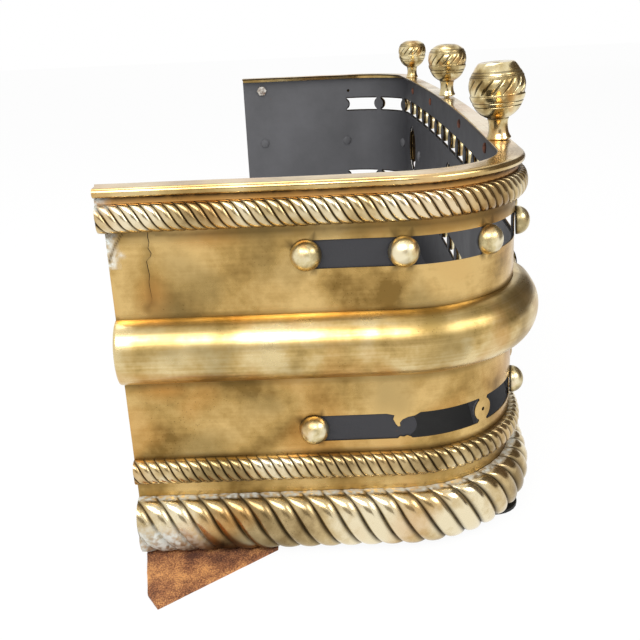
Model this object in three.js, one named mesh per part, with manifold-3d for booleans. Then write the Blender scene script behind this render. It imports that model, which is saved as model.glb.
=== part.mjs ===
// Fire fender: a U-shaped brass guard that stands round a hearth.
// A pierced brass band is backed by a painted iron liner and dressed with rope mouldings,
// a half-round, pierced roundels, ball studs, a top rail and three ball finials.
// Millimetres, +Z up, X along the fender, the bowed front faces -Y, the open back +Y.
import * as THREE from 'three';
import { mergeVertices } from 'three/addons/utils/BufferGeometryUtils.js';
import Module from 'manifold-3d';

const wasm = await Module();
wasm.setup();

// ---- Driving dimensions -------------------------------------------------------------

// Clearance between pieces that seat on each other.
const fit = 0.3;

// Plan of the brass band's outer face.
const length = 1140;
const return_depth = 317;
const front_bow = 19;
const corner_radius = 104;
const corner_facets = 9;
const front_facets = 3;

// Sheets.
const brass_thickness = 0.9;
const liner_thickness = 1.5;
const liner_flange = 14;

// Iron plates that it stands on.
const plate_thickness = 3;
const sole_end_inset = 37;
const sole_reach = 12;
const sole_width = 112;
const sole_corner = 24;
const foot_run = 109;
const foot_reach = 77;
const foot_tip_run = 20;
const foot_tip_chamfer = 19;
const foot_back_slant = 9;
const foot_tuck = 34;

// Rope mouldings: height of the half-round, reach from the band, strand pitch and groove.
const base_rope = { height: 50.4, reach: 19, pitch: 15.4, groove: 3.2, lean: 1.8, ribs: 4 };
const lower_rope = { height: 22, reach: 9.6, pitch: 7.7, groove: 1.6, lean: 1.75, ribs: 2 };
const upper_rope = { height: 21.6, reach: 10.4, pitch: 7.8, groove: 1.6, lean: 2, ribs: 2 };

// Bare stretches of the band between the mouldings and slots, from the bottom up.
const band_above_base_rope = 12.4;
const band_above_lower_rope = 10.7;
const band_below_half_round = 35.7;
const band_above_half_round = 34.6;
const band_below_upper_rope = 11.2;

// Half-round moulding.
const half_round_height = 52.4;
const half_round_reach = 22;

// Pierced rows: slots bridged by necked discs.
const slot_height = 22.3;
const liner_slot_margin = 2.2;
const first_disc_left = 148;
const first_disc_right = 128;
const return_pitch = 73;
const return_discs = 3;
const front_discs = 8;
const disc_radius = 9.6;
const disc_facets = 3;
const neck_width = 9;
const ball_radius = 12;
const ball_shoulder = 1.2;
const bare_discs = [1, 2];
const torn_tail_drop = 11;
const torn_tail_width = 20;

// Roundels under the finials: a dome in a flat ring of petal holes with a rolled rim.
const finial_inset = 156;
const roundel_radius = 43;
const roundel_rise = 14;
const roundel_rim = 2.4;
const roundel_ring = 1.4;
const roundel_sides = 16;
const petal_inner = 29.5;
const petal_outer = 41.3;
const petal_count = 8;
const petal_spoke = 6;

// Top rail.
const rail_thickness = 7.7;
const rail_inner = 12.5;
const rail_flat = 7;
const rail_nose = 3.5;
const rail_fascia = 4.5;
const rail_fascia_reach = 5.4;
const rail_overhang = 3;
const rope_gap = 0.5;

// Finials and the studs that they screw on.
const finial_heights = [68, 66, 66];
const finial_radius = 25.8;
const finial_foot_radius = 11.2;
const finial_neck_radius = 8.7;
const finial_top_radii = [14.5, 10, 10];
const finial_set_out = -4.8;
const finial_lifts = [0.6, 2.4, 0.6];
const stud_radius = 3.6;

// Fasteners on the liner's inside.
const rivet_radius = 5;
const rivet_rise = 3;
const screw_radius = 4.2;
const screw_rise = 2.6;
const flange_rivet_radius = 3.4;
const nut_radius = 6;
const nut_rise = 4.5;
const end_fixing_run = 37;
const side_rivet_run = 205;
const rail_screw_places = [-307, -99, 194, 400];
const sole_rivet_spacing = 190;
const foot_rivet_run = 24;

// ---- Heights that follow from the stack ---------------------------------------------

const plate_top = plate_thickness;
const base_rope_z = plate_top + fit + 0.1 + base_rope.height / 2;
const lower_rope_z = base_rope_z + base_rope.height / 2 + band_above_base_rope + lower_rope.height / 2;
const lower_slot_low = lower_rope_z + lower_rope.height / 2 + band_above_lower_rope;
const lower_slot_high = lower_slot_low + slot_height;
const half_round_z = lower_slot_high + band_below_half_round + half_round_height / 2;
const upper_slot_low = half_round_z + half_round_height / 2 + band_above_half_round;
const upper_slot_high = upper_slot_low + slot_height;
const upper_rope_z = upper_slot_high + band_below_upper_rope + upper_rope.height / 2;
const fascia_bottom = upper_rope_z + upper_rope.height / 2 + rope_gap;
const rail_underside = fascia_bottom + rail_fascia;
const rail_top = rail_underside + rail_thickness;
const sheet_bottom = plate_top + fit;
const sheet_top = rail_underside - fit;
const liner_face = -(brass_thickness + fit);
const liner_back = liner_face - liner_thickness;

// ---- Plan curve ---------------------------------------------------------------------
// Each return is straight, then a round corner leads into the shallow bow of the front.
// A place on the plan is given by its run, the distance walked along the band from the
// left back end, and by its offset outward from the band's outer face.

const half_length = length / 2;
const front_radius = (half_length ** 2 + front_bow ** 2) / (2 * front_bow);
const front_centre_y = front_radius - return_depth - front_bow;
const corner_centre_x = half_length - corner_radius;
const corner_centre_y = front_centre_y
  - Math.sqrt((front_radius - corner_radius) ** 2 - corner_centre_x ** 2);
const corner_turn = Math.atan2(front_centre_y - corner_centre_y, corner_centre_x);
const straight_run = -corner_centre_y;
const corner_run = corner_radius * corner_turn;
const front_run = front_radius * (Math.PI / 2 - corner_turn);
const half_run = straight_run + corner_run + front_run;
const whole_run = 2 * half_run;
const finial_spacing = half_length - finial_inset;

// The origin lies under the middle of the bounding box, between the rail's back ends and
// whatever stands out furthest in front.
const front_reach = return_depth + front_bow
  + Math.max(finial_set_out + finial_radius, fit + half_round_reach);
const back_shift = (front_reach - rail_overhang) / 2;

function planAt(run) {
  const side = run <= half_run ? -1 : 1;
  const walked = run <= half_run ? run : whole_run - run;
  let x = half_length;
  let y = -walked;
  let turn = 0;
  if (walked > straight_run + corner_run) {
    turn = corner_turn + (walked - straight_run - corner_run) / front_radius;
    x = front_radius * Math.cos(turn);
    y = front_centre_y - front_radius * Math.sin(turn);
  } else if (walked > straight_run) {
    turn = (walked - straight_run) / corner_radius;
    x = corner_centre_x + corner_radius * Math.cos(turn);
    y = corner_centre_y - corner_radius * Math.sin(turn);
  }
  return { x: side * x, y: y + back_shift, out_x: side * Math.cos(turn), out_y: -Math.sin(turn) };
}

function pointAt(run, offset, z) {
  const plan = planAt(run);
  return new THREE.Vector3(plan.x + offset * plan.out_x, plan.y + offset * plan.out_y, z);
}

// Run of the point on the front that lies at a given x.
function runAtX(x) {
  const turn = Math.acos(Math.abs(x) / front_radius);
  const walked = straight_run + corner_run + (turn - corner_turn) * front_radius;
  return x <= 0 ? walked : whole_run - walked;
}

// Local frame on the band: x along the run, y up, z outward.
function frameAt(run, offset, z) {
  const plan = planAt(run);
  const along = new THREE.Vector3(-plan.out_y, plan.out_x, 0);
  const up = new THREE.Vector3(0, 0, 1);
  const out = new THREE.Vector3(plan.out_x, plan.out_y, 0);
  return new THREE.Matrix4().makeBasis(along, up, out).setPosition(pointAt(run, offset, z));
}

// Runs where the bent sheets have a facet edge.
const bends = [0, straight_run];
for (let i = 1; i <= corner_facets; i += 1) {
  bends.push(straight_run + (corner_run * i) / corner_facets);
}
for (let i = 1; i <= front_facets; i += 1) {
  bends.push(straight_run + corner_run + (front_run * i) / front_facets);
}
for (let i = bends.length - 2; i >= 0; i -= 1) {
  bends.push(whole_run - bends[i]);
}

// ---- Geometry helpers ---------------------------------------------------------------

// Closed mesh from points and triangles, turned so that its faces point outward.
function closedMesh(points, triangles) {
  let volume = 0;
  for (const [a, b, c] of triangles) {
    volume += points[a].dot(points[b].clone().cross(points[c]));
  }
  const turned = volume < 0 ? triangles.map(([a, b, c]) => [a, c, b]) : triangles;
  const geometry = new THREE.BufferGeometry().setFromPoints(points);
  geometry.setIndex(turned.flat());
  return geometry;
}

// A section of [offset, z] points carried along the plan from one run to another.
function sweep(section, start = 0, end = whole_run) {
  const stops = [start, ...bends.filter((run) => run > start + 0.5 && run < end - 0.5), end];
  const points = stops.flatMap((run) => section.map(([offset, z]) => pointAt(run, offset, z)));
  const count = section.length;
  const triangles = [];
  for (let i = 0; i < stops.length - 1; i += 1) {
    for (let j = 0; j < count; j += 1) {
      const a = i * count + j;
      const b = i * count + ((j + 1) % count);
      triangles.push([a, b, b + count], [a, b + count, a + count]);
    }
  }
  const outline = section.map(([offset, z]) => new THREE.Vector2(offset, z));
  const last = (stops.length - 1) * count;
  const turn = Math.sign(THREE.ShapeUtils.area(outline));
  for (const [a, b, c] of THREE.ShapeUtils.triangulateShape(outline, [])) {
    const own_turn = Math.sign(THREE.ShapeUtils.area([outline[a], outline[b], outline[c]]));
    const [p, q, r] = own_turn === turn ? [a, b, c] : [a, c, b];
    triangles.push([r, q, p], [p + last, q + last, r + last]);
  }
  return closedMesh(points, triangles);
}

function halfRoundSection(centre_z, height, reach, steps) {
  const section = [];
  for (let i = 0; i <= steps; i += 1) {
    const angle = Math.PI * (i / steps - 0.5);
    section.push([fit + reach * Math.cos(angle), centre_z + (height / 2) * Math.sin(angle)]);
  }
  return section;
}

function solid(geometry) {
  const bare = geometry.clone();
  bare.deleteAttribute('normal');
  bare.deleteAttribute('uv');
  const merged = mergeVertices(bare, 1e-4);
  return new wasm.Manifold(new wasm.Mesh({
    numProp: 3,
    vertProperties: new Float32Array(merged.attributes.position.array),
    triVerts: new Uint32Array(merged.index.array),
  }));
}

function geometryOf(manifold) {
  const mesh = manifold.getMesh();
  const geometry = new THREE.BufferGeometry();
  geometry.setAttribute('position', new THREE.BufferAttribute(mesh.vertProperties, 3));
  geometry.setIndex(new THREE.BufferAttribute(mesh.triVerts, 1));
  return geometry;
}

// Shape drawn on the band and pushed through it from one offset to another.
function throughBand(shape, run, z, inner, outer, curve_segments = 2) {
  const block = new THREE.ExtrudeGeometry(shape, {
    depth: outer - inner,
    bevelEnabled: false,
    curveSegments: curve_segments,
  });
  return block.applyMatrix4(frameAt(run, inner, z));
}

// Solid turned from [radius, height] points about the Y axis.
function turned(profile, segments) {
  return new THREE.LatheGeometry(profile.map(([x, y]) => new THREE.Vector2(x, y)), segments);
}

// Turned piece whose axis points outward from the band at a place.
function turnedOnBand(profile, segments, run, offset, z) {
  return turned(profile, segments).rotateX(Math.PI / 2).applyMatrix4(frameAt(run, offset, z));
}

function domeProfile(radius, shoulder, rise, steps) {
  const profile = [[0, 0], [radius, 0]];
  for (let i = shoulder > 0 ? 0 : 1; i <= steps; i += 1) {
    const angle = (Math.PI / 2) * (i / steps);
    const x = i === steps ? 0 : radius * Math.cos(angle);
    profile.push([x, shoulder + (rise - shoulder) * Math.sin(angle)]);
  }
  return profile;
}

// ---- Materials ----------------------------------------------------------------------

function metal(color, roughness, metalness) {
  return new THREE.MeshStandardMaterial({ color, roughness, metalness });
}

const aged_brass = () => metal(0xb08d4f, 0.32, 1);
const painted_iron = () => metal(0x4a4a4c, 0.75, 0.2);
const rusty_iron = () => metal(0x7a4a30, 0.9, 0.3);

const fender = new THREE.Group();

function addPiece(name, geometry, material) {
  const piece = new THREE.Mesh(geometry, material);
  piece.name = name;
  fender.add(piece);
}

// ---- Where the discs, balls and roundels stand ---------------------------------------

// Discs of one side: evenly spaced on the return, then evenly on to the middle of the front.
function sideDiscs(first) {
  const last = first + (return_discs - 1) * return_pitch;
  const runs = [];
  for (let i = 0; i < return_discs; i += 1) {
    runs.push(first + i * return_pitch);
  }
  for (let i = 1; i <= front_discs; i += 1) {
    runs.push(last + ((half_run - last) * i) / front_discs);
  }
  return runs;
}

const right_discs = sideDiscs(first_disc_right).slice(0, -1).reverse();
const disc_runs = [...sideDiscs(first_disc_left), ...right_discs.map((run) => whole_run - run)];
const [broken_disc] = bare_discs;
const roundel_runs = [-finial_spacing, 0, finial_spacing].map(runAtX);

// ---- Pierced brass band and iron liner -----------------------------------------------

// A disc held between two short necks, tall enough to bridge the slot.
function bridgeShape(height) {
  const half_neck = neck_width / 2;
  const reach = height / 2 + 1;
  const spread = Math.acos(half_neck / disc_radius);
  const right = [[half_neck, -reach]];
  for (let i = 0; i <= disc_facets; i += 1) {
    const angle = spread * ((2 * i) / disc_facets - 1);
    right.push([disc_radius * Math.cos(angle), disc_radius * Math.sin(angle)]);
  }
  right.push([half_neck, reach]);
  const left = right.map(([x, y]) => [-x, -y]);
  return new THREE.Shape([...right, ...left].map(([x, y]) => new THREE.Vector2(x, y)));
}

// What is left of the broken disc: a torn tail under the slot's upper edge.
function tornTail(height) {
  const edge = height / 2;
  const half = torn_tail_width / 2;
  const tip = edge - torn_tail_drop;
  const tail = [[half * 0.3, edge + 1], [half * 0.3, edge - 2], [-half * 0.6, tip + 2], [-half * 0.4, tip]];
  tail.push([half * 0.9, edge - 3], [half, edge + 1]);
  return new THREE.Shape(tail.map(([x, y]) => new THREE.Vector2(x, y)));
}

function rowCutter(low, high, inner, outer, discs, torn) {
  const start = disc_runs[discs[0]];
  const end = disc_runs[discs[discs.length - 1]];
  const section = [[inner - 1, low], [outer + 1, low], [outer + 1, high], [inner - 1, high]];
  const middle = (low + high) / 2;
  let cutter = solid(sweep(section, start, end));
  for (const index of discs) {
    const shape = index === torn ? tornTail(high - low) : bridgeShape(high - low);
    cutter = cutter.subtract(solid(throughBand(shape, disc_runs[index], middle, inner - 2, outer + 2)));
  }
  return cutter;
}

// Petal holes stand in a ring and are parted by straight spokes.
function petalShapes() {
  const shapes = [];
  for (let i = 0; i < petal_count; i += 1) {
    const middle = (2 * Math.PI * (i + 0.5)) / petal_count;
    const corner = (radius, side) => {
      const half = Math.PI / petal_count - petal_spoke / 2 / radius;
      return new THREE.Vector2(
        radius * Math.cos(middle + side * half),
        radius * Math.sin(middle + side * half),
      );
    };
    const tip = new THREE.Vector2(petal_outer * Math.cos(middle), petal_outer * Math.sin(middle));
    const outer = petal_outer - 2;
    const outline = [corner(petal_inner, -1), corner(outer, -1), tip, corner(outer, 1), corner(petal_inner, 1)];
    shapes.push(new THREE.Shape(outline));
  }
  return shapes;
}

const every_disc = disc_runs.map((run, index) => index);
const liner_discs = every_disc.slice(1, -1);

let band = solid(sweep([
  [-brass_thickness, sheet_bottom], [0, sheet_bottom], [0, sheet_top], [-brass_thickness, sheet_top],
]));
band = band.subtract(rowCutter(upper_slot_low, upper_slot_high, -brass_thickness, 0, every_disc, -1));
band = band.subtract(rowCutter(lower_slot_low, lower_slot_high, -brass_thickness, 0, every_disc, broken_disc));

let liner = solid(sweep([
  [liner_back - liner_flange, sheet_bottom],
  [liner_face, sheet_bottom],
  [liner_face, sheet_top],
  [liner_back, sheet_top],
  [liner_back, sheet_bottom + liner_thickness],
  [liner_back - liner_flange, sheet_bottom + liner_thickness],
]));
for (const [low, high] of [[upper_slot_low, upper_slot_high], [lower_slot_low, lower_slot_high]]) {
  const row_low = low - liner_slot_margin;
  const row_high = high + liner_slot_margin;
  liner = liner.subtract(rowCutter(row_low, row_high, liner_back, liner_face, liner_discs, -1));
}

for (const run of roundel_runs) {
  const opening = new THREE.Shape().absarc(0, 0, petal_outer + 1, 0, 2 * Math.PI, false);
  const hole = throughBand(opening, run, half_round_z, -brass_thickness - 1, 1, 8);
  band = band.subtract(solid(hole));
  for (const petal of petalShapes()) {
    liner = liner.subtract(solid(throughBand(petal, run, half_round_z, liner_back - 1, liner_face + 1)));
  }
}

// Riveted heads, screw ends and nuts stand on the liner and are one body with it.
const rivet_profile = domeProfile(rivet_radius, 0, rivet_rise, 2);
const screw_profile = domeProfile(screw_radius, 0, screw_rise, 2);
const flange_rivet_profile = domeProfile(flange_rivet_radius, 0, screw_rise, 2);
const nut_profile = [[0, 0], [nut_radius, 0], [nut_radius, nut_rise], [0, nut_rise]];
const sunk = 0.3;

function addInside(profile, segments, run, z) {
  const head = turned(profile, segments).rotateX(-Math.PI / 2);
  liner = liner.add(solid(head.applyMatrix4(frameAt(run, liner_back + sunk, z))));
}

function addOnFlange(run) {
  const head = turned(flange_rivet_profile, 6).rotateX(Math.PI / 2);
  const seat = pointAt(run, liner_back - liner_flange / 2, sheet_bottom + liner_thickness - sunk);
  liner = liner.add(solid(head.translate(...seat)));
}

const half_round_fixings = [
  end_fixing_run,
  side_rivet_run,
  runAtX(-finial_spacing - roundel_radius * 2.1),
  runAtX(-finial_spacing + roundel_radius * 2.1),
  runAtX(-roundel_radius * 2.1),
];
for (const fixing of half_round_fixings) {
  addInside(rivet_profile, 8, fixing, half_round_z);
  addInside(rivet_profile, 8, whole_run - fixing, half_round_z);
}
for (const x of rail_screw_places) {
  addInside(screw_profile, 6, runAtX(x), upper_rope_z);
}
addInside(nut_profile, 6, end_fixing_run, upper_rope_z);
addInside(nut_profile, 6, whole_run - end_fixing_run, upper_rope_z);
for (const run of [foot_rivet_run, foot_run - foot_rivet_run]) {
  addOnFlange(run);
  addOnFlange(whole_run - run);
}
for (let x = -2 * sole_rivet_spacing; x <= 2 * sole_rivet_spacing; x += sole_rivet_spacing) {
  addOnFlange(runAtX(x));
}

addPiece('brass_band', geometryOf(band), aged_brass());
addPiece('iron_liner', geometryOf(liner), painted_iron());

// ---- Rope mouldings ------------------------------------------------------------------

// Joins two rows of vertices that run the same way, each with its place along the strand.
function joinRows(lower, upper) {
  const triangles = [];
  let i = 0;
  let j = 0;
  while (i < lower.length - 1 || j < upper.length - 1) {
    const lower_next = i < lower.length - 1 ? lower[i + 1].place : Infinity;
    const upper_next = j < upper.length - 1 ? upper[j + 1].place : Infinity;
    if (lower_next <= upper_next) {
      triangles.push([lower[i].id, lower[i + 1].id, upper[j].id]);
      i += 1;
    } else {
      triangles.push([lower[i].id, upper[j + 1].id, upper[j].id]);
      j += 1;
    }
  }
  return triangles;
}

// A half-round whose strands slant down towards the front: ribs are rows of vertices along
// the moulding, and on each rib a strand has a round crown and a groove beside it.
function ropeMoulding(rope, centre_z, overhang) {
  const start = -overhang;
  const end = whole_run + overhang;
  const stops = [start, ...bends.slice(1, -1), end];
  const points = [];
  const addRow = (places) => places.map(({ run, angle, depth, place }) => {
    const scale = 1 - depth / rope.reach;
    const offset = fit + rope.reach * Math.cos(angle) * scale;
    points.push(pointAt(run, offset, centre_z + (rope.height / 2) * Math.sin(angle) * scale));
    return { id: points.length - 1, place };
  });
  const edge = (angle) => stops.map((run) => ({ run, angle, depth: 0, place: run }));
  const strands = Math.round((end - start) / rope.pitch);
  const pitch = (end - start) / strands;
  const marks = [[0.4, 0], [0.92, 1]];
  const rows = [addRow(edge(-Math.PI / 2))];
  for (let i = 1; i <= rope.ribs; i += 1) {
    const angle = Math.PI * (i / (rope.ribs + 1) - 0.5) * 0.94;
    const shift = (-rope.lean * pitch * angle) / Math.PI;
    const places = [{ run: start, angle, depth: rope.groove / 2, place: start - shift }];
    for (let k = -Math.ceil(rope.lean); k <= strands + rope.lean; k += 1) {
      for (const [share, deep] of marks) {
        const run = start + (k + share) * pitch + shift;
        if (run > start + pitch * 0.2 && run < end - pitch * 0.2) {
          places.push({ run, angle, depth: deep * rope.groove, place: run - shift });
        }
      }
    }
    places.push({ run: end, angle, depth: rope.groove / 2, place: end - shift });
    rows.push(addRow(places));
  }
  rows.push(addRow(edge(Math.PI / 2)));
  const triangles = [];
  for (let i = 0; i < rows.length - 1; i += 1) {
    triangles.push(...joinRows(rows[i], rows[i + 1]));
  }
  const bottom = rows[0];
  const top = rows[rows.length - 1];
  triangles.push(...joinRows(top, bottom));
  for (let i = 1; i < rows.length - 1; i += 1) {
    triangles.push([bottom[0].id, rows[i].at(0).id, rows[i + 1].at(0).id]);
    triangles.push([bottom.at(-1).id, rows[i + 1].at(-1).id, rows[i].at(-1).id]);
  }
  return closedMesh(points, triangles);
}

addPiece('rope_base', ropeMoulding(base_rope, base_rope_z, 0), aged_brass());
addPiece('rope_lower', ropeMoulding(lower_rope, lower_rope_z, 0), aged_brass());
addPiece('rope_upper', ropeMoulding(upper_rope, upper_rope_z, rail_overhang), aged_brass());

// ---- Half-round moulding, coped round the roundels -----------------------------------

const half_round_section = halfRoundSection(half_round_z, half_round_height, half_round_reach, 9);
const half_round_stops = [0, ...roundel_runs, whole_run];
const half_round_names = ['half_round_left', 'half_round_front_left', 'half_round_front_right', 'half_round_right'];
const cope_radius = roundel_radius + fit / Math.cos(Math.PI / roundel_sides);
const cope_profile = [[0, -5], [cope_radius, -5], [cope_radius, 2 * half_round_reach], [0, 2 * half_round_reach]];
half_round_names.forEach((name, index) => {
  let piece = solid(sweep(half_round_section, half_round_stops[index], half_round_stops[index + 1]));
  for (const run of roundel_runs) {
    piece = piece.subtract(solid(turnedOnBand(cope_profile, roundel_sides, run, 0, half_round_z)));
  }
  addPiece(name, geometryOf(piece), aged_brass());
});

// ---- Pierced roundels ----------------------------------------------------------------

const dome_radius = petal_inner - 1.5;
const roundel_profile = [
  [0, 0],
  [roundel_radius, 0],
  [roundel_radius, roundel_rim],
  [petal_outer, roundel_ring],
  [dome_radius, roundel_ring],
  [dome_radius * 0.9, roundel_rise * 0.42],
  [dome_radius * 0.72, roundel_rise * 0.68],
  [dome_radius * 0.42, roundel_rise * 0.9],
  [0, roundel_rise],
];

['roundel_left', 'roundel_centre', 'roundel_right'].forEach((name, index) => {
  const run = roundel_runs[index];
  let roundel = solid(turnedOnBand(roundel_profile, roundel_sides, run, fit, half_round_z));
  for (const petal of petalShapes()) {
    roundel = roundel.subtract(solid(throughBand(petal, run, half_round_z, -1, roundel_rise + 2)));
  }
  addPiece(name, geometryOf(roundel), aged_brass());
});

// ---- Ball studs ----------------------------------------------------------------------

const ball_profile = domeProfile(ball_radius, ball_shoulder, ball_radius, 2);

function addBallRow(row, z, missing) {
  disc_runs.forEach((run, index) => {
    if (missing.includes(index)) return;
    const ball = turnedOnBand(ball_profile, 8, run, fit + 0.1, z);
    addPiece(`ball_stud_${row}_${index + 1}`, ball, aged_brass());
  });
}

addBallRow('upper', (upper_slot_low + upper_slot_high) / 2, []);
addBallRow('lower', (lower_slot_low + lower_slot_high) / 2, bare_discs);

// ---- Top rail ------------------------------------------------------------------------

const nose_centre = [rail_flat, rail_top - rail_nose];
const nose = [0.5, 0.25, 0, -0.25, -0.5].map((share) => [
  nose_centre[0] + rail_nose * Math.cos(share * Math.PI),
  nose_centre[1] + rail_nose * Math.sin(share * Math.PI),
]);
const rail_section = [
  [-rail_inner, rail_underside],
  [fit, rail_underside],
  [fit, fascia_bottom],
  [rail_fascia_reach, fascia_bottom],
  [rail_fascia_reach, nose_centre[1] - rail_nose],
  ...nose.slice().reverse(),
  [-rail_inner + 1.5, rail_top],
  [-rail_inner, rail_top - 1.5],
];

let rail = solid(sweep(rail_section, -rail_overhang, whole_run + rail_overhang));
const stud_bottom = rail_underside + 0.6;
for (const run of roundel_runs) {
  const bore = new THREE.CylinderGeometry(stud_radius + fit, stud_radius + fit, rail_thickness * 2, 8);
  bore.rotateX(Math.PI / 2).translate(...pointAt(run, finial_set_out, stud_bottom + rail_thickness));
  rail = rail.subtract(solid(bore));
}
addPiece('top_rail', geometryOf(rail), aged_brass());

// ---- Finials, each turned with the stud that screws into the rail ---------------------

// Stud, foot, waisted neck, bowl, ball and flat top, up from the stud's tip.
const waist_height = 13;
const collar_height = 20;
const bowl_height = 29;
const ball_height = 46;
const shoulder_height = 57.5;
['left', 'centre', 'right'].forEach((place, index) => {
  const seat = rail_top + finial_lifts[index];
  const profile = [
    [0, stud_bottom - seat],
    [stud_radius, stud_bottom - seat],
    [stud_radius, 0],
    [finial_foot_radius, 0],
    [finial_foot_radius, 2.4],
    [finial_neck_radius, waist_height - 3],
    [finial_neck_radius + 1.2, collar_height],
    [finial_radius * 0.74, bowl_height],
    [finial_radius * 0.95, (bowl_height + ball_height) / 2],
    [finial_radius, ball_height],
    [finial_radius * 0.92, shoulder_height],
    [finial_top_radii[index], finial_heights[index]],
    [0, finial_heights[index]],
  ];
  const finial = turned(profile, 14).rotateX(Math.PI / 2);
  const standing = finial.translate(...pointAt(roundel_runs[index], finial_set_out, seat));
  addPiece(`finial_${place}`, standing, aged_brass());
});

// ---- Sole plate under the front and foot plates under the returns ---------------------

const front_y = (x) => planAt(runAtX(x)).y;

function plate(points) {
  const shape = new THREE.Shape(points.map(([x, y]) => new THREE.Vector2(x, y)));
  return new THREE.ExtrudeGeometry(shape, { depth: plate_thickness, bevelEnabled: false });
}

const sole_half = half_length - sole_end_inset;
const sole_outline = [];
const sole_steps = 6;
for (let i = -sole_steps; i <= sole_steps; i += 1) {
  const x = ((sole_half - sole_corner) * i) / sole_steps;
  sole_outline.push([x, front_y(x) - sole_reach]);
}
const sole_corner_y = front_y(sole_half - sole_corner) - sole_reach + sole_corner;
for (const share of [1 / 3, 2 / 3, 1]) {
  const angle = (Math.PI / 2) * share;
  const x = sole_half - sole_corner + sole_corner * Math.sin(angle);
  sole_outline.push([x, sole_corner_y - sole_corner * Math.cos(angle)]);
}
const sole_back_y = sole_corner_y - sole_corner + sole_width;
sole_outline.push([sole_half, sole_back_y], [-sole_half, sole_back_y]);
for (const share of [1, 2 / 3, 1 / 3]) {
  const angle = (Math.PI / 2) * share;
  const x = sole_half - sole_corner + sole_corner * Math.sin(angle);
  sole_outline.push([-x, sole_corner_y - sole_corner * Math.cos(angle)]);
}
addPiece('sole_plate', plate(sole_outline), painted_iron());

function footPlate(side) {
  const out = half_length + foot_reach;
  const back = back_shift - 4;
  const corners = [
    [half_length - foot_tuck, back],
    [out - foot_tip_chamfer, back - foot_back_slant],
    [out, back - foot_tip_run],
    [half_length + 5, back - foot_run],
    [half_length - foot_tuck, back - foot_run],
  ];
  return plate(corners.map(([x, y]) => [side * x, y]));
}
addPiece('foot_plate_left', footPlate(-1), rusty_iron());
addPiece('foot_plate_right', footPlate(1), rusty_iron());

export default fender;
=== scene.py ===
import math

import bmesh
import bpy
import numpy as np
from mathutils import Matrix, Vector, geometry, noise


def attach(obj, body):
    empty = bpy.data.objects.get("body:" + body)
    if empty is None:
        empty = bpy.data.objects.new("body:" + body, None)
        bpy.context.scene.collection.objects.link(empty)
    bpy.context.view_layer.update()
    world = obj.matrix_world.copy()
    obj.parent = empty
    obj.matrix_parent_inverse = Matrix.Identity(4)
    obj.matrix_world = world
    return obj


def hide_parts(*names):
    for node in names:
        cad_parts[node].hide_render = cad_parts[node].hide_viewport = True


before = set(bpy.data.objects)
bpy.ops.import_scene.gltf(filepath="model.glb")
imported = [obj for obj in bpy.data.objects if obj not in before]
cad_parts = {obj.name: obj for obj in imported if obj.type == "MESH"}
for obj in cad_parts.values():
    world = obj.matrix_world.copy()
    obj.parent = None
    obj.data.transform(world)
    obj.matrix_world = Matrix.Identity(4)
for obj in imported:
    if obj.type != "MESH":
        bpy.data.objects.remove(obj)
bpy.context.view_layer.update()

# ---- Pierced brass band ----
# A thin rolled brass sheet bent to a U with round corners and a shallow bow in front.
# Two rows of slots are sawn out of it, bridged by discs that carry the ball studs.
# It is old: polished bright in places, stained brown along the mouldings' joints, and cracked, with
# painted shade under the upper rope and the half-round and lighter and darker patches painted in as
# reflections.

band_length = 1140
return_depth = 317
front_bow = 19
corner_radius = 104
half_round_reach = 22
rail_overhang = 3
# Pieces that touch are kept this far apart.
gap = 0.3
back_shift = (return_depth + front_bow + gap + half_round_reach - rail_overhang) / 2
half_length = band_length / 2
front_radius = (half_length ** 2 + front_bow ** 2) / (2 * front_bow)
front_centre_y = front_radius - return_depth - front_bow
corner_centre_x = half_length - corner_radius
corner_centre_y = front_centre_y - math.sqrt(
    (front_radius - corner_radius) ** 2 - corner_centre_x ** 2)
corner_turn = math.atan2(front_centre_y - corner_centre_y, corner_centre_x)
straight_run = -corner_centre_y
corner_run = corner_radius * corner_turn
half_run = straight_run + corner_run + front_radius * (math.pi / 2 - corner_turn)
whole_run = 2 * half_run


def lay(run, offset, height):
    """Metres of the place that lies at a run along the band, an offset outward and a height, in mm."""
    run, offset, height = np.broadcast_arrays(*[np.asarray(v, float) for v in (run, offset, height)])
    side = np.where(run <= half_run, -1.0, 1.0)
    walked = np.where(run <= half_run, run, whole_run - run)
    round_corner = np.clip((walked - straight_run) / corner_radius, 0, corner_turn)
    past = np.maximum(walked - straight_run - corner_run, 0)
    turn = round_corner + past / front_radius
    x = np.where(past > 0, front_radius * np.cos(turn), corner_centre_x + corner_radius * np.cos(turn))
    y = np.where(past > 0, front_centre_y - front_radius * np.sin(turn),
                 corner_centre_y - corner_radius * np.sin(turn))
    y = np.where(walked < straight_run, -walked, y)
    out_x, out_y = side * np.cos(turn), -np.sin(turn)
    spots = (side * x + offset * out_x, y + back_shift + offset * out_y, height)
    return np.stack(spots, axis=-1) / 1000


def run_at_x(x):
    turn = math.acos(abs(x) / front_radius)
    walked = straight_run + corner_run + (turn - corner_turn) * front_radius
    return walked if x <= 0 else whole_run - walked


def frame_at(run, offset, height):
    """Frame on the band: x along the run, y up, z outward."""
    here, out = lay(run, offset, height), lay(run, offset + 1000, height)
    outward = Vector(out - here).normalized()
    up = Vector((0, 0, 1))
    turned = Matrix((up.cross(outward), up, outward)).transposed().to_4x4()
    return Matrix.Translation(Vector(here)) @ turned


def linear(hex_colour):
    parts = [int(hex_colour[i:i + 2], 16) / 255 for i in (1, 3, 5)]
    return tuple(c / 12.92 if c <= 0.04045 else ((c + 0.055) / 1.055) ** 2.4 for c in parts) + (1.0,)


def feed(tree, node, inputs):
    """Links a node's inputs to sockets, or sets them to plain values."""
    for key, value in inputs.items():
        if isinstance(value, bpy.types.NodeSocket):
            tree.links.new(value, node.inputs[key])
        else:
            node.inputs[key].default_value = value


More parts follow.
